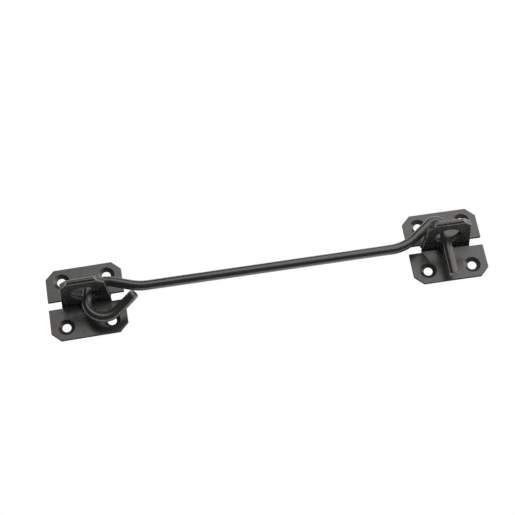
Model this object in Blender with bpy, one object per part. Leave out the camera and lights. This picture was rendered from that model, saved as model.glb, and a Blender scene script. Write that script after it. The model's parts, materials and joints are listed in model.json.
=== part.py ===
"""Cabin hook: a bent round rod held between two folded eye plates.

Metres, +Z up, the plates' undersides on z = 0. The pivot plate is at +X, the catch plate at -X.
Each plate is one strip of sheet, folded double in the middle into an upstanding ear with an eye through it.
The rod is one piece: a straight stub through the pivot eye, a crank that brings it round behind the ear,
a long straight shank, a gentle set-back behind the other ear, and a curled hook through the catch eye.
"""

import math

import bmesh
import bpy
from mathutils import Matrix, Vector

MM = 0.001

# Plates
EYE_SPACING = 200 * MM
PLATE_LENGTH = 41.8 * MM  # along X
PLATE_WIDTH = 42.7 * MM  # along Y
CORNER_CUT = 4.9 * MM
SHEET = 1.5 * MM
BEND_RADIUS = 0.8 * MM  # inside the bend, where the sheet turns up into the ear
EAR_THICKNESS = 3.2 * MM  # two sheets and the slit between them
EAR_HEIGHT = 28.2 * MM
EAR_HALF_BASE = 13.65 * MM
EAR_TAPER = 0.083  # half-width lost per unit of height
EAR_CUT_X = 4.4 * MM
EAR_CUT_Z = 4.2 * MM
EYE_DIAMETER = 13.9 * MM
EYE_HEIGHT = 14.9 * MM
NOTCH_WIDTH = 4.7 * MM
SCREW_X = 12.35 * MM
SCREW_Y = 13.85 * MM
SCREW_DIAMETER = 4.9 * MM
SINK_DIAMETER = 9.2 * MM
SINK_DEPTH = 1.25 * MM

# How each plate lies: name, X of its centre, turn about Z, lean of its ear, shift of its ear (towards +Y)
PLATES = (
    ("pivot_plate", EYE_SPACING / 2, -0.8, 0.5, 0.0),
    ("catch_plate", -EYE_SPACING / 2, 0.3, -1.0, -0.25 * MM),
)

# Rod, laid out in its own plane: u runs along the shank, v towards the back of the ears
ROD_DIAMETER = 5.5 * MM
ROD_AXIS_Y = -1.9 * MM
ROD_AXIS_Z = 11.5 * MM
ROD_TURN = -0.54  # degrees about Z
ROD_ROLL = 4.0  # degrees about the shank, the back side up
STUB_U = 99.05 * MM
STUB_END_V = -19.85 * MM
CRANK_FOOT_U = 76.0 * MM
CRANK_RISE = 37.2  # degrees
CRANK_FOOT_RADIUS = 24 * MM
STUB_BEND_RADIUS = 4.3 * MM
SETBACK_FOOT_U = -70.5 * MM
SETBACK_FOOT_RADIUS = 30 * MM
SETBACK = (-86.5 * MM, 5.7 * MM)
SETBACK_RADIUS = 20 * MM
EYE_BEND_RADIUS = 4.5 * MM
EYE_BEND_V = 5.9 * MM
CURL_CENTRE = (-90.1 * MM, -5.5 * MM)
CURL_RADIUS = 9.3 * MM
CURL_START = 168.0  # degrees round the curl's centre, where the rod comes out of the eye
TIP = (-72.0 * MM, -3.5 * MM)
TIP_LIFT = (-1.1 * MM, -2.7 * MM, 5.3 * MM)
ARC_STEP = 6.0  # degrees
END_ROUND = 0.35 * MM

# Joint axes
PIVOT_POINT = (EYE_SPACING / 2, 0, EYE_HEIGHT)
CATCH_POINT = (-EYE_SPACING / 2, 0, EYE_HEIGHT)


def clear_scene():
    for obj in list(bpy.data.objects):
        bpy.data.objects.remove(obj, do_unlink=True)
    for old in list(bpy.data.collections):
        bpy.data.collections.remove(old)


def new_collection(name, helper=False):
    made = bpy.data.collections.new(name)
    bpy.context.scene.collection.children.link(made)
    made.hide_render = helper
    return made


def satin_black(name, roughness):
    made = bpy.data.materials.new(name)
    made.use_nodes = True
    shader = made.node_tree.nodes["Principled BSDF"]
    shader.inputs["Base Color"].default_value = (0.022, 0.021, 0.020, 1)
    shader.inputs["Roughness"].default_value = roughness
    return made


def mesh_object(name, points, faces, collection):
    mesh = bpy.data.meshes.new(name)
    mesh.from_pydata(points, [], faces)
    work = bmesh.new()
    work.from_mesh(mesh)
    bmesh.ops.recalc_face_normals(work, faces=work.faces)
    work.to_mesh(mesh)
    work.free()
    made = bpy.data.objects.new(name, mesh)
    collection.objects.link(made)
    return made


def prism(name, outline, axis, low, high, collection):
    """A closed outline swept straight along X or Y. The outline is (y, z) or (x, z) pairs."""
    if axis == "X":
        ends = [[(end, a, b) for a, b in outline] for end in (low, high)]
    else:
        ends = [[(a, end, b) for a, b in outline] for end in (low, high)]
    count = len(outline)
    sides = [(i, (i + 1) % count, count + (i + 1) % count, count + i) for i in range(count)]
    caps = [tuple(range(count)), tuple(range(count, 2 * count))]
    return mesh_object(name, ends[0] + ends[1], sides + caps, collection)


def turned(name, profile, segments, matrix, collection):
    """A solid of revolution about local Z. The profile is (radius, z) pairs from bottom to top."""
    points, faces = [], []
    for radius, z in profile:
        for step in range(segments):
            angle = 2 * math.pi * step / segments
            points.append(matrix @ Vector((radius * math.cos(angle), radius * math.sin(angle), z)))
    for ring in range(len(profile) - 1):
        for step in range(segments):
            a, b = ring * segments + step, ring * segments + (step + 1) % segments
            faces.append((a, b, b + segments, a + segments))
    faces.append(tuple(range(segments)))
    faces.append(tuple(range((len(profile) - 1) * segments, len(profile) * segments)))
    return mesh_object(name, points, faces, collection)


def arc(centre, radius, start, end, steps):
    return [
        (
            centre[0] + radius * math.cos(math.radians(start + (end - start) * i / steps)),
            centre[1] + radius * math.sin(math.radians(start + (end - start) * i / steps)),
        )
        for i in range(steps + 1)
    ]


def leaned(points, degrees, shift, face, root):
    """Leans (y, z) points in proportion to their height, and shifts the ear along Y. The flats stay put."""
    slope = math.tan(math.radians(degrees))
    moved = []
    for y, z in points:
        share = min(1, max(0, (root - abs(y)) / (root - face)))
        moved.append((y + slope * max(0, z - SHEET) + shift * share * share * (3 - 2 * share), z))
    return moved


def folded_section(lean, shift):
    """The sheet's (y, z) section: flat, up into the ear, over the top and down again."""
    face = EAR_THICKNESS / 2
    inner = face - SHEET
    root = face + BEND_RADIUS
    outer_bend = BEND_RADIUS + SHEET
    top = EAR_HEIGHT - face
    half = PLATE_WIDTH / 2
    ear_outside = (
        [(-half, 0)]
        + arc((-root, outer_bend), outer_bend, 270, 360, 7)
        + arc((0, top), inner, 180, 0, 6)
        + arc((root, outer_bend), outer_bend, 180, 270, 7)
        + [(half, 0), (half, SHEET)]
    )
    ear_inside = (
        arc((root, outer_bend), BEND_RADIUS, 270, 180, 6)
        + arc((0, top), face, 0, 180, 12)
        + arc((-root, outer_bend), BEND_RADIUS, 360, 270, 6)
        + [(-half, SHEET)]
    )
    return leaned(ear_outside + ear_inside, lean, shift, face, root)


def cut(target, cutter, matrix):
    cutter.matrix_world = matrix
    cutter.display_type = "WIRE"
    cutter.hide_render = True
    step = target.modifiers.new(cutter.name, "BOOLEAN")
    step.operation = "DIFFERENCE"
    step.solver = "EXACT"
    step.object = cutter


def plate(name, x, turn, lean, shift, origin, parts, cutters, material):
    """One folded plate. Its own origin is on the joint axis, and its cutters follow it."""
    place = Matrix.Translation((x, 0, 0)) @ Matrix.Rotation(math.radians(turn), 4, "Z")
    local = Matrix.Translation(origin).inverted() @ place

    half = PLATE_LENGTH / 2
    made = prism(name, folded_section(lean, shift), "X", -half, half, parts)
    made.data.transform(local)
    made.matrix_world = Matrix.Translation(origin)
    made.data.materials.append(material)

    reach = 5 * MM
    side = EAR_HALF_BASE
    top = EAR_HEIGHT
    shoulder_z = top - EAR_CUT_Z
    shoulder_x = side - EAR_TAPER * shoulder_z
    flank = [
        (side + EAR_TAPER * reach, -reach),
        (shoulder_x, shoulder_z),
        (shoulder_x - EAR_CUT_X, top),
        (shoulder_x - EAR_CUT_X * 2, top + EAR_CUT_Z),
        (half + reach, top + EAR_CUT_Z),
        (half + reach, -reach),
    ]
    for label, sign in (("right", 1), ("left", -1)):
        outline = [(sign * a, b) for a, b in flank]
        depth = NOTCH_WIDTH / 2
        cut(made, prism(f"{name}_{label}_flank", outline, "Y", -depth, depth, cutters), place)
    for label, sx, sy in (("fr", 1, -1), ("fl", -1, -1), ("br", 1, 1), ("bl", -1, 1)):
        corner = Vector((sx * half, sy * PLATE_WIDTH / 2, 0))
        spin = Matrix.Translation(corner) @ Matrix.Rotation(math.radians(45), 4, "Z")
        size = CORNER_CUT / math.sqrt(2)
        block = prism(
            f"{name}_{label}_corner",
            [(-size, -reach), (size, -reach), (size, reach), (-size, reach)],
            "Y" if sx * sy > 0 else "X",
            -reach * 2,
            reach * 2,
            cutters,
        )
        cut(made, block, place @ spin)
        hole = Matrix.Translation((sx * SCREW_X, sy * SCREW_Y, 0))
        drill = SCREW_DIAMETER / 2
        flare = (SINK_DIAMETER / 2 - drill) / SINK_DEPTH
        profile = [
            (drill, -reach),
            (drill, SHEET - SINK_DEPTH),
            (drill + flare * (SINK_DEPTH + 1 * MM), SHEET + 1 * MM),
        ]
        cut(made, turned(f"{name}_{label}_screw", profile, 48, hole, cutters), place)
    eye_y = shift + math.tan(math.radians(lean)) * (EYE_HEIGHT - SHEET)
    across = (
        Matrix.Translation((0, eye_y, EYE_HEIGHT))
        @ Matrix.Rotation(math.radians(90 - lean), 4, "X")
    )
    bore = [(EYE_DIAMETER / 2, -reach), (EYE_DIAMETER / 2, reach)]
    cut(made, turned(f"{name}_eye", bore, 64, across, cutters), place)
    return made


def direction(degrees):
    return Vector((math.cos(math.radians(degrees)), math.sin(math.radians(degrees))))


def rounded(path):
    """Points along straight runs joined by arcs. Each entry is (u, v, bend radius)."""
    points = [Vector(path[0][:2])]
    for before, here, after in zip(path, path[1:], path[2:]):
        corner = Vector(here[:2])
        back = (Vector(before[:2]) - corner).normalized()
        on = (Vector(after[:2]) - corner).normalized()
        half = back.angle(on) / 2
        radius = here[2]
        run = radius / math.tan(half)
        centre = corner + (back + on).normalized() * radius / math.sin(half)
        start, end = corner + back * run - centre, corner + on * run - centre
        sweep = start.angle_signed(end)
        steps = max(3, math.ceil(abs(math.degrees(sweep)) / ARC_STEP))
        for i in range(steps + 1):
            # angle_signed is positive clockwise
            angle = -sweep * i / steps
            points.append(centre + Matrix.Rotation(angle, 2) @ start)
    points.append(Vector(path[-1][:2]))
    return points


def rod_centreline():
    """The rod's centreline from the stub's end to the hook's tip, as world points."""
    rise = math.tan(math.radians(CRANK_RISE))
    curl = Vector(CURL_CENTRE)
    eye_exit = curl + direction(CURL_START) * CURL_RADIUS
    up = direction(CURL_START - 90)
    bend = eye_exit + up * (EYE_BEND_V - eye_exit.y) / up.y
    path = [
        (STUB_U, STUB_END_V, 0),
        (STUB_U, (STUB_U - CRANK_FOOT_U) * rise, STUB_BEND_RADIUS),
        (CRANK_FOOT_U, 0, CRANK_FOOT_RADIUS),
        (SETBACK_FOOT_U, 0, SETBACK_FOOT_RADIUS),
        (*SETBACK, SETBACK_RADIUS),
        (*bend, EYE_BEND_RADIUS),
        (*eye_exit, 0),
    ]
    flat = [(point, 0.0) for point in rounded(path)]

    # Round the curl until the run to the tip leaves it
    tip = Vector(TIP)
    apart = tip - curl
    leave = math.degrees(math.atan2(apart.y, apart.x))
    leave -= math.degrees(math.acos(CURL_RADIUS / apart.length))
    sweep = (leave - CURL_START) % 360
    steps = math.ceil(sweep / ARC_STEP)
    for i in range(1, steps + 1):
        angle = CURL_START + sweep * i / steps
        flat.append((curl + direction(angle) * CURL_RADIUS, max(0, angle - 270)))
    run = (tip - flat[-1][0]).length
    swept = math.radians(flat[-1][1]) * CURL_RADIUS
    total = swept + run
    flat = [(point, math.radians(degrees) * CURL_RADIUS / total) for point, degrees in flat]
    last = flat[-1]
    for i in range(1, 9):
        flat.append((last[0].lerp(tip, i / 8), last[1] + (1 - last[1]) * i / 8))

    place = (
        Matrix.Translation((0, ROD_AXIS_Y, ROD_AXIS_Z))
        @ Matrix.Rotation(math.radians(ROD_TURN), 4, "Z")
        @ Matrix.Rotation(math.radians(ROD_ROLL), 4, "X")
    )
    lift = Vector(TIP_LIFT)
    return [place @ Vector((point.x, point.y, 0)) + lift * share * share for point, share in flat]


def with_round_ends(points):
    """Rounds the rod's two cut edges: (point, share of the radius) all along it."""
    ends = []
    for tip, neighbour in ((points[0], points[1]), (points[-1], points[-2])):
        inward = (neighbour - tip).normalized()
        ends.append(
            [
                (
                    tip + inward * END_ROUND * (1 - math.cos(math.radians(a))),
                    1 - END_ROUND * (1 - math.sin(math.radians(a))) / (ROD_DIAMETER / 2),
                )
                for a in (0, 30, 60, 90)
            ]
        )
    return ends[0] + [(point, 1.0) for point in points[1:-1]] + ends[1][::-1]


def rod(name, origin, parts, material):
    stations = with_round_ends(rod_centreline())
    curve = bpy.data.curves.new(name, "CURVE")
    curve.dimensions = "3D"
    curve.fill_mode = "FULL"
    curve.bevel_depth = ROD_DIAMETER / 2
    curve.bevel_resolution = 6
    curve.use_fill_caps = True
    curve.twist_mode = "MINIMUM"
    line = curve.splines.new("POLY")
    line.points.add(len(stations) - 1)
    for point, (place, share) in zip(line.points, stations):
        point.co = (*(place - Vector(origin)), 1)
        point.radius = share
    made = bpy.data.objects.new(name, curve)
    made.location = origin
    parts.objects.link(made)
    curve.materials.append(material)
    return made


def main():
    clear_scene()
    bpy.context.scene.unit_settings.system = "METRIC"
    parts = new_collection("cabin_hook")
    cutters = new_collection("cabin_hook_cutters", helper=True)
    origins = {"pivot_plate": (EYE_SPACING / 2, 0, 0), "catch_plate": CATCH_POINT}
    for name, x, turn, lean, shift in PLATES:
        coat = satin_black(f"{name}_satin_black", 0.42)
        plate(name, x, turn, lean, shift, origins[name], parts, cutters, coat)
    rod("hook_rod", PIVOT_POINT, parts, satin_black("hook_rod_satin_black", 0.36))


main()
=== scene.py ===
"""Cabin hook: the looks of the two folded eye plates and the bent rod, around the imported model.

Lengths are in metres. Each plate starts as a flat blank with its holes and rounded edges, and is then folded.
"""

import json
import math

import bpy
import numpy as np
from mathutils import Matrix, Vector
from mathutils.geometry import delaunay_2d_cdt


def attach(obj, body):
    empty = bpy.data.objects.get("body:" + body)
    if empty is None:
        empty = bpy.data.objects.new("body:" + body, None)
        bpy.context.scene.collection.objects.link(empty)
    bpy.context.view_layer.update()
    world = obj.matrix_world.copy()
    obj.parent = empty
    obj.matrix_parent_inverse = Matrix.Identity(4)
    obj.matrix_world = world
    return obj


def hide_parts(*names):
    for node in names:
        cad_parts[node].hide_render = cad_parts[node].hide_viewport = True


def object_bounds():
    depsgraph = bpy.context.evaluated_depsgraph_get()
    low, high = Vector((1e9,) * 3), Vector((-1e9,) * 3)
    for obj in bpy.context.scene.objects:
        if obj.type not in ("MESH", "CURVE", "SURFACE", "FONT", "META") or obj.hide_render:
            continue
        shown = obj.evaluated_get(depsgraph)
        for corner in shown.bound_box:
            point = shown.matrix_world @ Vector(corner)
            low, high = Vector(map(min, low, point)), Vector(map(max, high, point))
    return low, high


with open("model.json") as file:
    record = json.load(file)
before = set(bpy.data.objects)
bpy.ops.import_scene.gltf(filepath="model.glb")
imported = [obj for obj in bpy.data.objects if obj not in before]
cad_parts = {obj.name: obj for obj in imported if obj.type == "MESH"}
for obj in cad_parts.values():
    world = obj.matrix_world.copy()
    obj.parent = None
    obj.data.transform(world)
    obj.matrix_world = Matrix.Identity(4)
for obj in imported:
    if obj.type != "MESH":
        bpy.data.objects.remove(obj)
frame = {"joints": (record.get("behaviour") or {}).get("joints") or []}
cad_box = [list(corner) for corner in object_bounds()]

MM = 0.001
JOINTS = {joint["name"]: Vector(joint["pos_m"]) for joint in frame["joints"]}
PIVOT_EYE = JOINTS["hook_swing"]
CATCH_EYE = JOINTS["catch_swing"]

# Plate, with its angles in degrees
HALF_LENGTH = 20.9 * MM
HALF_WIDTH = 21.35 * MM
CORNER_CUT = 4.9 * MM
SHEET = 1.5 * MM
HALF_EAR = 1.6 * MM  # half the folded ear's thickness, slit included
BEND_RADIUS = 0.8 * MM
EAR_HEIGHT = 28.2 * MM
EAR_HALF_BASE = 13.65 * MM
EAR_TAPER = 0.083  # how much each side draws in per unit of height
EAR_CUT_X = 4.4 * MM
EAR_CUT_Z = 4.2 * MM
EYE_RADIUS = 6.95 * MM
HALF_NOTCH = 2.35 * MM
SCREW_X = 12.35 * MM
SCREW_Y = 13.85 * MM
SCREW_RADIUS = 2.45 * MM
SINK_RADIUS = 4.6 * MM
SINK_DEPTH = 1.25 * MM
EDGE_TOP = 0.26 * MM  # rounding of the punched edges, on the side that shows
EDGE_BACK = 0.32 * MM
CORNER_ROUND = 0.34 * MM
NOTCH_ROUND = 0.18 * MM
SINK_LIP = 0.16 * MM  # rounding where a countersink meets the top face
SINK_FOOT = 0.02 * MM  # how far below its cone a screw hole's wall starts
# wear and painted highlight on the ring where a screw hole's wall starts
SINK_FOOT_WEAR_AND_HIGHLIGHT = 0.4
SINK_LAND = 0.10 * MM  # rounding of a screw hole on the back
CONE_SHARES = (0.35, 0.7, 0.97)  # rings down a countersink
# Wear and painted highlight, ring by ring: the rounded edges are lightened, partly as real wear, partly as a
# painted highlight
TOP_WEAR_AND_HIGHLIGHT = (0.0, 1.0, 1.0, 1.0, 1.0, 0.4)  # ring by ring down an edge's top rounding
BACK_WEAR_AND_HIGHLIGHT = (0.2, 0.6, 0.6, 0.6, 0.0)  # and on down its back rounding

# Steps in each quarter turn or bend, and sides of the round holes
ROUND_STEPS = 6
FOLD_STEPS = 9
BEND_STEPS = 8
LIP_STEPS = 4
LAND_STEPS = 2
SCREW_SIDES = 56
EYE_SIDES = 88
FILL_EPSILON = 1e-6  # in mm, when the flat faces are filled
RIM_SHARE = 0.998  # a fill triangle nearer a hole's middle than this much of its radius is in the hole

# How each plate lies: node, place of its eye, turn about Z, lean of its ear, shift of its ear
PLATES = (
    ("pivot_plate", PIVOT_EYE, -0.8, 0.5, 0.0),
    ("catch_plate", CATCH_EYE, 0.3, -1.0, -0.25 * MM),
)

# Rod, in its own plane: u along the shank, v towards the back, angles in degrees
ROD_RADIUS = 2.75 * MM
ROD_AXIS = Vector((0, -1.9 * MM, 11.5 * MM))
ROD_TURN = -0.54
ROD_ROLL = 4.0
STUB_U = 99.05 * MM
STUB_END_V = -19.85 * MM
CRANK_FOOT_U = 76.0 * MM
CRANK_RISE = 37.2
CRANK_FOOT_RADIUS = 24 * MM
STUB_BEND_RADIUS = 4.3 * MM
SETBACK_FOOT_U = -70.5 * MM
SETBACK_FOOT_RADIUS = 30 * MM
SETBACK = (-86.5 * MM, 5.7 * MM)
SETBACK_RADIUS = 20 * MM
EYE_BEND_RADIUS = 4.5 * MM
EYE_BEND_V = 5.9 * MM
CURL_CENTRE = (-90.1 * MM, -5.5 * MM)
CURL_RADIUS = 9.3 * MM
CURL_START = 168.0
TIP = (-72.0 * MM, -3.5 * MM)
TIP_LIFT = Vector((-1.1 * MM, -2.7 * MM, 5.3 * MM))
END_ROUND = 0.65 * MM
ARC_STEP = 1.5
RUN_STEP = 1.0 * MM
ROD_SIDES = 56
END_STEPS = 6
END_CLEAR = END_ROUND * 1.5  # the shank's own rings keep this far from an end
END_SHARES = (0.75, 0.45, 0.2)  # rings across a sheared end
# Wear and painted highlight on the rod's sheared end faces and on their rounded rims
END_WEAR_AND_HIGHLIGHT = 0.3
EDGE_WEAR_AND_HIGHLIGHT = 1.0
LOWEST = 270  # the angle at which the curl is nearest the front, where it starts to lift

# Coating
COAT_DARK = (0.0245, 0.0245, 0.0245, 1)
COAT_PALE = (0.0310, 0.0306, 0.0302, 1)
# The lighter colour of edges and ends, and how much of it they take: partly worn coating, partly a painted
# highlight
COAT_WORN_AND_HIGHLIGHT = (0.27, 0.265, 0.258, 1)
WORN_AND_HIGHLIGHT_SHARE = 0.5
WORN_GLOSS = 0.08  # how much less rough a worn edge is
PEEL_STRENGTH = 0.02
PEEL_HEIGHT = 0.00002
WAVE_STRENGTH = 0.03
WAVE_HEIGHT = 0.00006
PLATE_ROUGHNESS = 0.27
ROD_ROUGHNESS = 0.23
ROD_SEED = 0.31

# Floor and surroundings. The camera sees plain white, and these values are what every other ray meets.
FLOOR_HALF = 6.0
FLOOR_GAP = 0.02 * MM
FLOOR_GLOW = 1.3
# The darker glow and base colour in a square round each plate are painted shade
FLOOR_GLOW_IN_PAINTED_SHADE = 0.05
FLOOR_PALE = 0.9
FLOOR_BASE_IN_PAINTED_SHADE = 0.12
PAINTED_SHADE_HALF_SIDE = 22 * MM  # half the side of the nearly black square round each plate
PAINTED_SHADE_FADE = 16 * MM  # and how far out it takes to turn pale
FRONT_GLOW = 0.34
BACK_GLOW = 1.1
GLOW_FROM, GLOW_TO = -0.35, 0.75  # where the front's glow ends and the back's starts, from -1 to 1

# Camera
VIEW_POINT = Vector((-54.32, -323.59, 647.6)) * MM
VIEW_YAW, VIEW_PITCH, VIEW_ROLL = (math.radians(a) for a in (-8.604, 62.404, -1.08))
LENS = 92.07
SENSOR_WIDTH = 36


# ---------------------------------------------------------------- meshes

def mesh_piece(name, points, faces, normals, worn_and_highlight, material):
    """A mesh with its own smooth normals and a value per point for wear and painted highlight, 1 on a rounded
    edge.
    """
    mesh = bpy.data.meshes.new(name)
    mesh.from_pydata([tuple(p) for p in points], [], faces)
    mesh.validate()
    mesh.update()
    mesh.shade_smooth()
    mesh.normals_split_custom_set_from_vertices([tuple(n) for n in normals])
    field = mesh.attributes.new("worn_and_highlight", "FLOAT", "POINT")
    field.data.foreach_set("value", np.array(worn_and_highlight, np.float32))
    made = bpy.data.objects.new(name, mesh)
    bpy.context.scene.collection.objects.link(made)
    mesh.materials.append(material)
    return made


class Sheet:
    """The folded sheet's section, seen from its side: where a point of the flat blank goes.
    s runs along the strip from the fold's top, and is less than 0 on the front half."""

    TOP = EAR_HEIGHT - HALF_EAR
    ROOT = HALF_EAR + BEND_RADIUS
    MID_TOP = HALF_EAR - SHEET / 2
    MID_ROOT = BEND_RADIUS + SHEET / 2
    S_TOP = math.pi / 2 * MID_TOP
    S_EAR = S_TOP + TOP - (BEND_RADIUS + SHEET)
    S_ROOT = S_EAR + math.pi / 2 * MID_ROOT
    S_END = S_ROOT + HALF_WIDTH - ROOT

    @classmethod
    def half(cls, s, t):
        """(y, z), the outward normal and the tangent away from the fold's top, for s >= 0.
        t is up from mid-sheet."""
        if s <= cls.S_TOP:
            a = s / cls.MID_TOP
            r = cls.MID_TOP + t
            normal = (math.sin(a), math.cos(a))
            return (r * normal[0], cls.TOP + r * normal[1]), normal, (normal[1], -normal[0])
        if s <= cls.S_EAR:
            return (cls.MID_TOP + t, cls.TOP - (s - cls.S_TOP)), (1, 0), (0, -1)
        if s <= cls.S_ROOT:
            a = (s - cls.S_EAR) / cls.MID_ROOT
            r = cls.MID_ROOT - t
            normal = (math.cos(a), math.sin(a))
            point = (cls.ROOT - r * normal[0], BEND_RADIUS + SHEET - r * normal[1])
            return point, normal, (normal[1], -normal[0])
        return (cls.ROOT + s - cls.S_ROOT, SHEET / 2 + t), (0, 1), (1, 0)

    @classmethod
    def at(cls, s, t):
        """The same for either half."""
        point, normal, tangent = cls.half(abs(s), t)
        if s >= 0:
            return point, normal, tangent
        return (-point[0], point[1]), (-normal[0], normal[1]), (tangent[0], -tangent[1])


def half_span(z):
    """Half the ear's width at a height."""
    shoulder = EAR_HEIGHT - EAR_CUT_Z
    if z <= shoulder:
        return EAR_HALF_BASE - EAR_TAPER * z
    return EAR_HALF_BASE - EAR_TAPER * shoulder - EAR_CUT_X * (z - shoulder) / EAR_CUT_Z


def mid_height(s):
    """Height of the folded sheet's middle."""
    return Sheet.at(s, 0)[0][1]


def folded(x, s, t, normal, lean, shift):
    """Where a point of the blank and its normal go. The ear's cut sides stay flat through its thickness."""
    (y, z), out, along = Sheet.at(s, t)
    if abs(s) < Sheet.S_ROOT and abs(x) < EAR_HALF_BASE:
        x *= half_span(z) / half_span(mid_height(s))
    nx, ns, nt = normal
    turned = Vector((nx, ns * along[0] + nt * out[0], ns * along[1] + nt * out[1]))
    share = min(1, max(0, (Sheet.S_ROOT - abs(s)) / (Sheet.S_ROOT - Sheet.S_EAR)))
    y += math.tan(math.radians(lean)) * max(0, z - SHEET) + shift * share * share * (3 - 2 * share)
    return Vector((x, y, z)), turned.normalized()


def filleted(corners):
    """(point, outward normal, corner number) round a closed outline of (x, s, radius) corners.
    They go counterclockwise, and radius 0 keeps a point of a smooth run."""
    made = []
    count = len(corners)
    for i in range(count):
        here = Vector(corners[i][:2])
        back = (Vector(corners[i - 1][:2]) - here).normalized()
        on = (Vector(corners[(i + 1) % count][:2]) - here).normalized()
        into = Vector((-back.y, back.x))  # outward normal of the side that comes in
        out = Vector((on.y, -on.x))
        radius = corners[i][2]
        if not radius:
            made.append((here, (into + out).normalized(), i))
            continue
        half = back.angle(on) / 2
        run = radius / math.tan(half)
        convex = back.cross(on) < 0
        centre = here + (back + on).normalized() * radius / math.sin(half)
        start = here + back * run
        turn = into.angle(out)
        for k in range(ROUND_STEPS + 1):
            angle = turn * k / ROUND_STEPS * (1 if convex else -1)
            arm = Matrix.Rotation(angle, 2) @ (start - centre)
            made.append((centre + arm, arm.normalized() * (1 if convex else -1), i))
    return made


def blank_outline():
    """The strip's outline, and the pairs of its points that lie across from each other on the bends."""
    shoulder_s = Sheet.S_TOP + Sheet.TOP - (EAR_HEIGHT - EAR_CUT_Z)
    notch_s = Sheet.S_ROOT + HALF_NOTCH - Sheet.ROOT
    stations = [Sheet.S_TOP * k / FOLD_STEPS for k in range(FOLD_STEPS + 1)]
    # one just under the ear's shoulder and one just above its bend
    stations += [shoulder_s + 1 * MM, Sheet.S_EAR - 3 * MM]
    # the bend's last two would crowd the notch's corner
    bend = Sheet.S_ROOT - Sheet.S_EAR
    stations += [Sheet.S_EAR + bend * k / BEND_STEPS for k in range(BEND_STEPS - 1)]
    quarter = [(half_span(mid_height(s)), s, 0) for s in stations]
    quarter.append((half_span(mid_height(shoulder_s)), shoulder_s, CORNER_ROUND))
    quarter.append((half_span(mid_height(notch_s)), notch_s, NOTCH_ROUND))
    quarter.append((HALF_LENGTH, notch_s, CORNER_ROUND))
    quarter.append((HALF_LENGTH, Sheet.S_END - CORNER_CUT, CORNER_ROUND))
    quarter.append((HALF_LENGTH - CORNER_CUT, Sheet.S_END, CORNER_ROUND))
    quarter.sort(key=lambda corner: (corner[1], corner[0]))
    front = [(x, -s, r) for x, s, r in reversed(quarter[1:])]
    right = front + quarter
    left = [(-x, s, r) for x, s, r in reversed(right)]
    corners = right + left
    across = {}
    for i, (x, s, r) in enumerate(corners):
        if not r:
            across.setdefault(round(s, 9), []).append(i)
    return filleted(corners), [pair for pair in across.values() if len(pair) == 2]


def edge_profile():
    """(inset, t, outward share, up share, wear and painted highlight) down a punched edge, from the top face
    to the back.
    """
    rows = []
    for k, wear_and_highlight in enumerate(TOP_WEAR_AND_HIGHLIGHT):
        a = math.radians(90 - 90 * k / (len(TOP_WEAR_AND_HIGHLIGHT) - 1))
        out, up = math.cos(a), math.sin(a)
        rows.append((EDGE_TOP * (1 - out), SHEET / 2 - EDGE_TOP * (1 - up), out, up, wear_and_highlight))
    for k, wear_and_highlight in enumerate(BACK_WEAR_AND_HIGHLIGHT):
        a = math.radians(-90 * k / (len(BACK_WEAR_AND_HIGHLIGHT) - 1))
        out, up = math.cos(a), math.sin(a)
        rows.append((EDGE_BACK * (1 - out), -SHEET / 2 + EDGE_BACK * (1 + up), out, up, wear_and_highlight))
    return rows


def sink_profile():
    """The same for a countersunk screw hole, with radii in place of insets."""
    slope = math.atan2(SINK_RADIUS - SCREW_RADIUS, SINK_DEPTH)
    turn = math.pi / 2 - slope  # of the lip, from the top face into the cone
    lip_radius = SINK_RADIUS + SINK_LIP * math.tan(turn / 2)
    rows = []
    for k in range(LIP_STEPS + 1):
        a = math.pi / 2 + turn * k / LIP_STEPS
        out, up = math.cos(a), math.sin(a)
        wear_and_highlight = 1.0 if 0 < k < LIP_STEPS else 0.0
        rows.append((lip_radius + SINK_LIP * out, SHEET / 2 - SINK_LIP + SINK_LIP * up, out, up, wear_and_highlight))
    for share in CONE_SHARES:
        radius = SINK_RADIUS + (SCREW_RADIUS - SINK_RADIUS) * share
        rows.append((radius, SHEET / 2 - SINK_DEPTH * share, -math.cos(slope), math.sin(slope), 0.0))
    rows.append((SCREW_RADIUS, SHEET / 2 - SINK_DEPTH - SINK_FOOT, -1, 0, SINK_FOOT_WEAR_AND_HIGHLIGHT))
    for k in range(LAND_STEPS + 1):
        a = math.radians(180 + 90 * k / LAND_STEPS)
        out, up = math.cos(a), math.sin(a)
        rows.append((SCREW_RADIUS + SINK_LAND * (1 + out), -SHEET / 2 + SINK_LAND * (1 + up), out, up, 0.0))
    return rows


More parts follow.
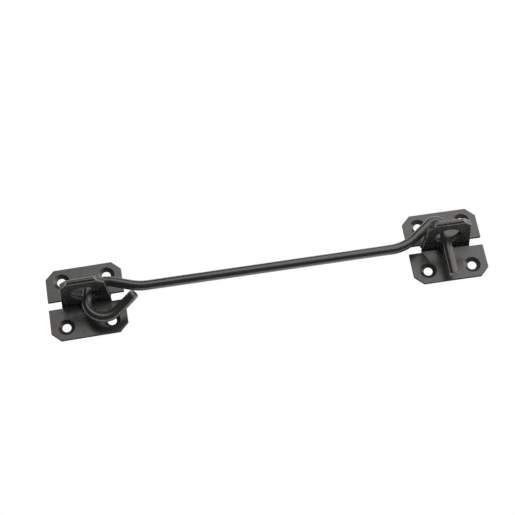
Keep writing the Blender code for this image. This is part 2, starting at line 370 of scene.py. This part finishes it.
def blank():
    """The flat blank: points (x, s, t), their flat normals, their values for wear and painted highlight, and
    faces.
    """
    outline, across = blank_outline()
    points, normals, worn_and_highlight, faces = [], [], [], []
    tops, backs = [], []  # rings of point numbers that bound the top and back faces

    def ring(entries):
        first = len(points)
        for x, s, t, normal, wear_and_highlight in entries:
            points.append((x, s, t))
            normals.append(normal)
            worn_and_highlight.append(wear_and_highlight)
        return list(range(first, len(points)))

    def skin(rings, flip):
        for upper, lower in zip(rings, rings[1:]):
            for k in range(len(upper)):
                n = (k + 1) % len(upper)
                quad = (upper[k], upper[n], lower[n], lower[k])
                faces.append(quad if flip else quad[::-1])
        tops.append(rings[0])
        backs.append(rings[-1])

    rings = []
    for inset, t, out, up, wear_and_highlight in edge_profile():
        entries = []
        for point, n, _ in outline:
            edge = point - n * inset
            entries.append((edge.x, edge.y, t, (n.x * out, n.y * out, up), wear_and_highlight))
        rings.append(ring(entries))
    skin(rings, False)
    holes = []
    for sx in (1, -1):
        for sy in (1, -1):
            s = sy * (Sheet.S_ROOT + SCREW_Y - Sheet.ROOT)
            holes.append((sx * SCREW_X, s, sink_profile(), SCREW_SIDES))
    eye_s = Sheet.S_TOP + Sheet.TOP - PIVOT_EYE.z
    eye = [(EYE_RADIUS + inset, t, -out, up, wear_and_highlight) for inset, t, out, up, wear_and_highlight in edge_profile()]
    holes += [(0, eye_s, eye, EYE_SIDES), (0, -eye_s, eye, EYE_SIDES)]
    for x, s, profile, count in holes:
        rings = []
        for radius, t, out, up, wear_and_highlight in profile:
            entries = []
            for k in range(count):
                c, d = math.cos(2 * math.pi * k / count), math.sin(2 * math.pi * k / count)
                entries.append((x + radius * c, s + radius * d, t, (c * out, d * out, up), wear_and_highlight))
            rings.append(ring(entries))
        skin(rings, True)

    # fill the top and the back between outline and holes, with an edge across at each step of the bends
    first_of = {}
    for k, (_, _, corner) in enumerate(outline):
        first_of.setdefault(corner, k)
    for face_rings, up in ((tops, True), (backs, False)):
        numbers = [i for one in face_rings for i in one]
        local = {number: k for k, number in enumerate(numbers)}
        flat = [Vector(points[i][:2]) / MM for i in numbers]
        edges = []
        for one in face_rings:
            edges += [(local[a], local[b]) for a, b in zip(one, one[1:] + one[:1])]
        outer = face_rings[0]
        edges += [(local[outer[first_of[a]]], local[outer[first_of[b]]]) for a, b in across]
        out_points, _, out_faces, origins, _, _ = delaunay_2d_cdt(flat, edges, [], 0, FILL_EPSILON)
        assert all(len(source) == 1 for source in origins), "the outline crosses itself"
        number_of = [numbers[source[0]] for source in origins]
        edge_loop = np.array([points[i][:2] for i in outer]) / MM
        openings = [(Vector((x, s)) / MM, profile[0 if up else -1][0] / MM) for x, s, profile, _ in holes]
        for face in out_faces:
            middle = sum((out_points[k] for k in face), Vector((0, 0))) / 3
            in_hole = any((middle - centre).length < radius * RIM_SHARE for centre, radius in openings)
            if in_hole or not inside(middle, edge_loop):
                continue
            triangle = tuple(number_of[k] for k in face)
            faces.append(triangle if up else triangle[::-1])
    return points, normals, worn_and_highlight, faces


def inside(point, loop):
    """Whether a flat point is inside a closed loop."""
    x, y = point
    ax, ay = loop[:, 0], loop[:, 1]
    bx, by = np.roll(ax, -1), np.roll(ay, -1)
    spans = (ay > y) != (by > y)
    with np.errstate(divide="ignore", invalid="ignore"):
        at = ax + (y - ay) / (by - ay) * (bx - ax)
    return bool((spans & (x < at)).sum() % 2)


def plate(name, eye, turn, lean, shift, flat, material):
    """One plate, folded from the flat blank and laid under its eye."""
    points, normals, worn_and_highlight, faces = flat
    place = Matrix.Translation((eye.x, 0, 0)) @ Matrix.Rotation(math.radians(turn), 4, "Z")
    spin = place.to_3x3()
    laid = [folded(*point, normal, lean, shift) for point, normal in zip(points, normals)]
    return mesh_piece(name, [place @ p for p, _ in laid], faces, [spin @ n for _, n in laid], worn_and_highlight, material)


# ---------------------------------------------------------------- rod

def direction(degrees):
    """A unit arm at an angle in the rod's plane."""
    return Vector((math.cos(math.radians(degrees)), math.sin(math.radians(degrees))))


def run_points(start, end):
    """Points on a straight run after its start, up to its end."""
    steps = max(1, round((end - start).length / RUN_STEP))
    return [start.lerp(end, k / steps) for k in range(1, steps + 1)]


def rounded(path):
    """Points along a path of (u, v, bend radius) corners."""
    points = [Vector(path[0][:2])]
    for before, here, after in zip(path, path[1:], path[2:]):
        corner = Vector(here[:2])
        back = (Vector(before[:2]) - corner).normalized()
        on = (Vector(after[:2]) - corner).normalized()
        half = back.angle(on) / 2
        run = here[2] / math.tan(half)
        centre = corner + (back + on).normalized() * here[2] / math.sin(half)
        start, end = corner + back * run - centre, corner + on * run - centre
        sweep = start.angle_signed(end)
        points += run_points(points[-1], centre + start)
        steps = max(3, math.ceil(abs(math.degrees(sweep)) / ARC_STEP))
        points += [centre + Matrix.Rotation(-sweep * k / steps, 2) @ start for k in range(1, steps + 1)]
    return points + run_points(points[-1], Vector(path[-1][:2]))


def rod_centreline():
    """Points along the rod's middle, from the stub's end to the hook's tip."""
    rise = math.tan(math.radians(CRANK_RISE))
    curl = Vector(CURL_CENTRE)
    eye_exit = curl + direction(CURL_START) * CURL_RADIUS
    up = direction(CURL_START - 90)
    bend = eye_exit + up * (EYE_BEND_V - eye_exit.y) / up.y
    path = [
        (STUB_U, STUB_END_V, 0),
        (STUB_U, (STUB_U - CRANK_FOOT_U) * rise, STUB_BEND_RADIUS),
        (CRANK_FOOT_U, 0, CRANK_FOOT_RADIUS),
        (SETBACK_FOOT_U, 0, SETBACK_FOOT_RADIUS),
        (*SETBACK, SETBACK_RADIUS),
        (*bend, EYE_BEND_RADIUS),
        (*eye_exit, 0),
    ]
    flat = [(point, 0.0) for point in rounded(path)]
    tip = Vector(TIP)
    apart = tip - curl
    leave = math.degrees(math.atan2(apart.y, apart.x)) - math.degrees(math.acos(CURL_RADIUS / apart.length))
    # the second value of each point is its share of the way up to the tip
    sweep = (leave - CURL_START) % 360
    steps = math.ceil(sweep / ARC_STEP)
    lifted = max(0, CURL_START + sweep - LOWEST)
    total = math.radians(lifted) * CURL_RADIUS + (tip - curl - direction(leave) * CURL_RADIUS).length
    for k in range(1, steps + 1):
        angle = CURL_START + sweep * k / steps
        share = math.radians(max(0, angle - LOWEST)) * CURL_RADIUS / total
        flat.append((curl + direction(angle) * CURL_RADIUS, share))
    last = flat[-1]
    run = run_points(last[0], tip)
    flat += [(point, last[1] + (1 - last[1]) * (k + 1) / len(run)) for k, point in enumerate(run)]
    place = (
        Matrix.Translation(ROD_AXIS)
        @ Matrix.Rotation(math.radians(ROD_TURN), 4, "Z")
        @ Matrix.Rotation(math.radians(ROD_ROLL), 4, "X")
    )
    return [place @ Vector((p.x, p.y, 0)) + TIP_LIFT * share * share for p, share in flat]


def rod(name, material):
    """The bent rod, skinned along its line with rings that don't twist."""
    line = rod_centreline()
    tangents = []
    for k in range(len(line)):
        ahead, behind = line[min(k + 1, len(line) - 1)], line[max(k - 1, 0)]
        tangents.append((ahead - behind).normalized())
    side = tangents[0].orthogonal().normalized()
    sides = []
    for tangent in tangents:
        side = (side - tangent * side.dot(tangent)).normalized()
        sides.append(side)

    points, normals, worn_and_highlight, faces = [], [], [], []

    def ring(k, centre, radius, slope, wear_and_highlight):
        """A ring round the rod at its line's point k. slope tips the normals along the rod, up to 1 or -1."""
        tangent, side = tangents[k], sides[k]
        other = tangent.cross(side)
        first = len(points)
        for n in range(ROD_SIDES):
            angle = 2 * math.pi * n / ROD_SIDES
            out = side * math.cos(angle) + other * math.sin(angle)
            points.append(centre + out * radius)
            normals.append(out * math.sqrt(1 - slope * slope) + tangent * slope)
            worn_and_highlight.append(wear_and_highlight)
        return list(range(first, first + ROD_SIDES))

    def end_ring(k, sign, a):
        """A ring on an end's rounding, which a goes round from the sheared face."""
        centre = line[k] - tangents[k] * END_ROUND * (1 - math.cos(a)) * sign
        # the rounded rims of the ends are lightened: partly wear, partly painted highlight
        return ring(k, centre, ROD_RADIUS - END_ROUND * (1 - math.sin(a)), math.cos(a) * sign, EDGE_WEAR_AND_HIGHLIGHT)

    arc = [math.radians(90 * k / END_STEPS) for k in range(END_STEPS + 1)]
    rings = [end_ring(0, -1, a) for a in arc]
    for k in range(1, len(line) - 1):
        if min((line[k] - line[0]).length, (line[k] - line[-1]).length) > END_CLEAR:
            rings.append(ring(k, line[k], ROD_RADIUS, 0.0, 0.0))
    rings += [end_ring(-1, 1, a) for a in reversed(arc)]
    for upper, lower in zip(rings, rings[1:]):
        for k in range(ROD_SIDES):
            n = (k + 1) % ROD_SIDES
            faces.append((upper[k], upper[n], lower[n], lower[k]))

    # the sheared ends: flat rings inward to a middle point
    for outer, end, sign in ((rings[0], 0, -1), (rings[-1], -1, 1)):
        for share in END_SHARES:
            # the sheared faces are lightened a little: partly wear, partly painted highlight
            inner = ring(end, line[end], (ROD_RADIUS - END_ROUND) * share, sign, END_WEAR_AND_HIGHLIGHT)
            for k in range(ROD_SIDES):
                n = (k + 1) % ROD_SIDES
                quad = (outer[k], inner[k], inner[n], outer[n])
                faces.append(quad if sign < 0 else quad[::-1])
            outer = inner
        middle = len(points)
        points.append(line[end].copy())
        normals.append(tangents[end] * sign)
        worn_and_highlight.append(END_WEAR_AND_HIGHLIGHT)
        for k in range(ROD_SIDES):
            face = (outer[k], middle, outer[(k + 1) % ROD_SIDES])
            faces.append(face if sign < 0 else face[::-1])
    return mesh_piece(name, points, faces, normals, worn_and_highlight, material)


# ---------------------------------------------------------------- materials

def node(tree, kind, **inputs):
    """A new node with constants on its sockets, their names' spaces written as _."""
    made = tree.nodes.new(kind)
    for key, value in inputs.items():
        made.inputs[key.replace("_", " ")].default_value = value
    return made


def map_range(tree, source, low, high, to_low, to_high, interpolation="LINEAR"):
    """source, taken from low..high to to_low..to_high."""
    made = node(tree, "ShaderNodeMapRange", From_Min=low, From_Max=high, To_Min=to_low, To_Max=to_high)
    made.interpolation_type = interpolation
    tree.links.new(source, made.inputs["Value"])
    return made.outputs["Result"]


def math_node(tree, operation, *values):
    """A Math node on one or two values, each a number or another node's output."""
    made = tree.nodes.new("ShaderNodeMath")
    made.operation = operation
    for socket, value in zip(made.inputs, values):
        if isinstance(value, (int, float)):
            socket.default_value = value
        else:
            tree.links.new(value, socket)
    return made.outputs[0]


def colour_mix(tree, share, first, second):
    """A mix of two colours, the first a constant or another node's output."""
    made = tree.nodes.new("ShaderNodeMix")
    made.data_type = "RGBA"
    if isinstance(first, tuple):
        made.inputs["A"].default_value = first
    else:
        tree.links.new(first, made.inputs["A"])
    made.inputs["B"].default_value = second
    tree.links.new(share, made.inputs["Factor"])
    return made.outputs["Result"]


def satin_black(name, roughness, seed):
    """Satin black coating on steel: a fine peel, faint clouds, and a thinner, glossier film on the edges. Its
    lighter edge colour is partly real wear and partly a painted highlight.
    """
    made = bpy.data.materials.new(name)
    made.use_nodes = True
    tree = made.node_tree
    link = tree.links.new
    shader = tree.nodes["Principled BSDF"]
    place = tree.nodes.new("ShaderNodeTexCoord")
    shifted = tree.nodes.new("ShaderNodeVectorMath")
    shifted.operation = "ADD"
    shifted.inputs[1].default_value = (seed, seed * 0.7, seed * 1.3)
    link(place.outputs["Object"], shifted.inputs[0])

    def noise(scale, detail, rough=0.5):
        """Noise with about scale patches to the metre."""
        texture = node(tree, "ShaderNodeTexNoise", Scale=scale, Detail=detail, Roughness=rough)
        link(shifted.outputs[0], texture.inputs["Vector"])
        return texture.outputs["Fac"]

    # Mask of wear and painted highlight, from the mesh's per-point values, broken up in patches
    worn_and_highlight = tree.nodes.new("ShaderNodeAttribute")
    worn_and_highlight.attribute_name = "worn_and_highlight"
    patchy = map_range(tree, noise(240, 3), 0.42, 0.62, 0.25, 1.0)
    edge = math_node(tree, "MULTIPLY", worn_and_highlight.outputs["Fac"], patchy)

    cloud = map_range(tree, noise(90, 4, 0.6), 0.3, 0.7, 0.0, 1.0)
    coat = colour_mix(tree, cloud, COAT_DARK, COAT_PALE)
    # edges and ends lightened towards the worn colour: partly real wear, partly painted highlight
    colour = colour_mix(tree, math_node(tree, "MULTIPLY", edge, WORN_AND_HIGHLIGHT_SHARE), coat, COAT_WORN_AND_HIGHLIGHT)
    link(colour, shader.inputs["Base Color"])

    uneven = map_range(tree, noise(420, 3), 0.3, 0.7, roughness - 0.03, roughness + 0.04)
    gloss = math_node(tree, "MULTIPLY", edge, WORN_GLOSS)
    link(math_node(tree, "SUBTRACT", uneven, gloss), shader.inputs["Roughness"])

    peel = node(tree, "ShaderNodeBump", Strength=PEEL_STRENGTH, Distance=PEEL_HEIGHT)
    link(noise(2600, 3, 0.55), peel.inputs["Height"])
    wave = node(tree, "ShaderNodeBump", Strength=WAVE_STRENGTH, Distance=WAVE_HEIGHT)
    link(noise(330, 2), wave.inputs["Height"])
    link(peel.outputs["Normal"], wave.inputs["Normal"])
    link(wave.outputs["Normal"], shader.inputs["Normal"])
    shader.inputs["Specular IOR Level"].default_value = 0.5
    return made


# ---------------------------------------------------------------- pieces

plate_coat = satin_black("plate_satin_black", PLATE_ROUGHNESS, 0.0)
rod_coat = satin_black("rod_satin_black", ROD_ROUGHNESS, ROD_SEED)
flat_blank = blank()
for node_name, eye, turn, lean, shift in PLATES:
    piece = plate(f"{node_name}_folded", eye, turn, lean, shift, flat_blank, plate_coat)
    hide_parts(node_name)
    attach(piece, node_name)
hook = rod("hook_rod_bent", rod_coat)
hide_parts("hook_rod")
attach(hook, "hook_rod")


# ---------------------------------------------------------------- stage

def floor_material(name):
    """Plain white to the camera, with no shadows. To every other ray, a matt surface that glows: pale, but
    nearly black in a square of painted shade round each plate, which darkens what the ears' faces reflect."""
    made = bpy.data.materials.new(name)
    made.use_nodes = True
    tree = made.node_tree
    link = tree.links.new
    pale = tree.nodes["Principled BSDF"]
    pale.inputs["Roughness"].default_value = 0.8
    pale.inputs["Specular IOR Level"].default_value = 0.2
    pale.inputs["Emission Color"].default_value = (1, 1, 1, 1)

    # away is the distance from the nearer plate's middle, measured so that it makes square patches of painted
    # shade
    place = tree.nodes.new("ShaderNodeTexCoord")
    split = tree.nodes.new("ShaderNodeSeparateXYZ")
    link(place.outputs["Object"], split.inputs[0])
    from_plate = math_node(tree, "SUBTRACT", math_node(tree, "ABSOLUTE", split.outputs["X"]), PIVOT_EYE.x)
    across = math_node(tree, "ABSOLUTE", from_plate)
    away = math_node(tree, "MAXIMUM", across, math_node(tree, "ABSOLUTE", split.outputs["Y"]))
    far = PAINTED_SHADE_HALF_SIDE + PAINTED_SHADE_FADE
    # the glow and the base colour drop inside the square: painted shade on the floor round each plate
    glow = map_range(tree, away, PAINTED_SHADE_HALF_SIDE, far, FLOOR_GLOW_IN_PAINTED_SHADE, FLOOR_GLOW, "SMOOTHSTEP")
    link(glow, pale.inputs["Emission Strength"])
    floor_colour_with_painted_shade = map_range(tree, away, PAINTED_SHADE_HALF_SIDE, far, FLOOR_BASE_IN_PAINTED_SHADE, FLOOR_PALE, "SMOOTHSTEP")
    link(floor_colour_with_painted_shade, pale.inputs["Base Color"])

    seen = tree.nodes.new("ShaderNodeEmission")
    ray = tree.nodes.new("ShaderNodeLightPath")
    mix = tree.nodes.new("ShaderNodeMixShader")
    link(ray.outputs["Is Camera Ray"], mix.inputs["Fac"])
    link(pale.outputs["BSDF"], mix.inputs[1])
    link(seen.outputs["Emission"], mix.inputs[2])
    link(mix.outputs["Shader"], tree.nodes["Material Output"].inputs["Surface"])
    return made


floor_z = cad_box[0][2] - FLOOR_GAP
floor_corners = [(x * FLOOR_HALF, y * FLOOR_HALF, floor_z) for x, y in ((-1, -1), (1, -1), (1, 1), (-1, 1))]
floor_mesh = bpy.data.meshes.new("floor")
floor_mesh.from_pydata(floor_corners, [], [(0, 1, 2, 3)])
floor = bpy.data.objects.new("floor", floor_mesh)
bpy.context.scene.collection.objects.link(floor)
floor_mesh.materials.append(floor_material("floor_pale"))


def softbox(name, size, radiance, toward, distance, colour):
    """A rectangular soft light, out along toward from the object's middle and turned to face it."""
    light = bpy.data.lights.new(name, "AREA")
    light.shape = "RECTANGLE"
    light.size, light.size_y = size
    light.energy = radiance * math.pi * size[0] * size[1]
    light.color = colour
    made = bpy.data.objects.new(name, light)
    middle = (Vector(cad_box[0]) + Vector(cad_box[1])) / 2
    made.location = middle + Vector(toward).normalized() * distance
    made.rotation_mode = "QUATERNION"
    made.rotation_quaternion = (middle - made.location).to_track_quat("-Z", "Y")
    bpy.context.scene.collection.objects.link(made)


softbox(
    "key_above_back", size=(1.25, 1.25), radiance=3.0, toward=(0.36, 0.34, 0.90), distance=1.0,
    colour=(1.0, 0.965, 0.935),
)
softbox(
    "side_right", size=(0.8, 0.42), radiance=3.2, toward=(0.90, 0.27, 0.36), distance=1.1,
    colour=(1.0, 0.975, 0.95),
)


def studio_world():
    """White to the camera. To every other ray, dark in front, and lighter overhead and behind."""
    world = bpy.data.worlds.new("studio")
    bpy.context.scene.world = world
    world.use_nodes = True
    tree = world.node_tree
    link = tree.links.new
    place = tree.nodes.new("ShaderNodeTexCoord")
    split = tree.nodes.new("ShaderNodeSeparateXYZ")
    link(place.outputs["Generated"], split.inputs[0])
    glow = map_range(tree, split.outputs["Y"], GLOW_FROM, GLOW_TO, FRONT_GLOW, BACK_GLOW, "SMOOTHSTEP")
    ray = tree.nodes.new("ShaderNodeLightPath")
    seen = tree.nodes.new("ShaderNodeMix")
    seen.inputs["B"].default_value = 1.0
    link(ray.outputs["Is Camera Ray"], seen.inputs["Factor"])
    link(glow, seen.inputs["A"])
    link(seen.outputs["Result"], tree.nodes["Background"].inputs["Strength"])


studio_world()

# ---------------------------------------------------------------- camera

lens = bpy.data.cameras.new("camera")
lens.lens = LENS
lens.sensor_width = SENSOR_WIDTH
lens.clip_start, lens.clip_end = 0.02, 20
camera = bpy.data.objects.new("camera", lens)
bpy.context.scene.collection.objects.link(camera)
forward = Vector((
    -math.sin(VIEW_YAW) * math.cos(VIEW_PITCH),
    math.cos(VIEW_YAW) * math.cos(VIEW_PITCH),
    -math.sin(VIEW_PITCH),
))
level = Vector((math.cos(VIEW_YAW), math.sin(VIEW_YAW), 0))
above = level.cross(forward)
right = level * math.cos(VIEW_ROLL) + above * math.sin(VIEW_ROLL)
up = above * math.cos(VIEW_ROLL) - level * math.sin(VIEW_ROLL)
facing = Matrix((right, up, -forward)).transposed().to_4x4()
camera.matrix_world = Matrix.Translation(VIEW_POINT) @ facing
bpy.context.scene.camera = camera
bpy.context.scene.view_settings.view_transform = "Standard"
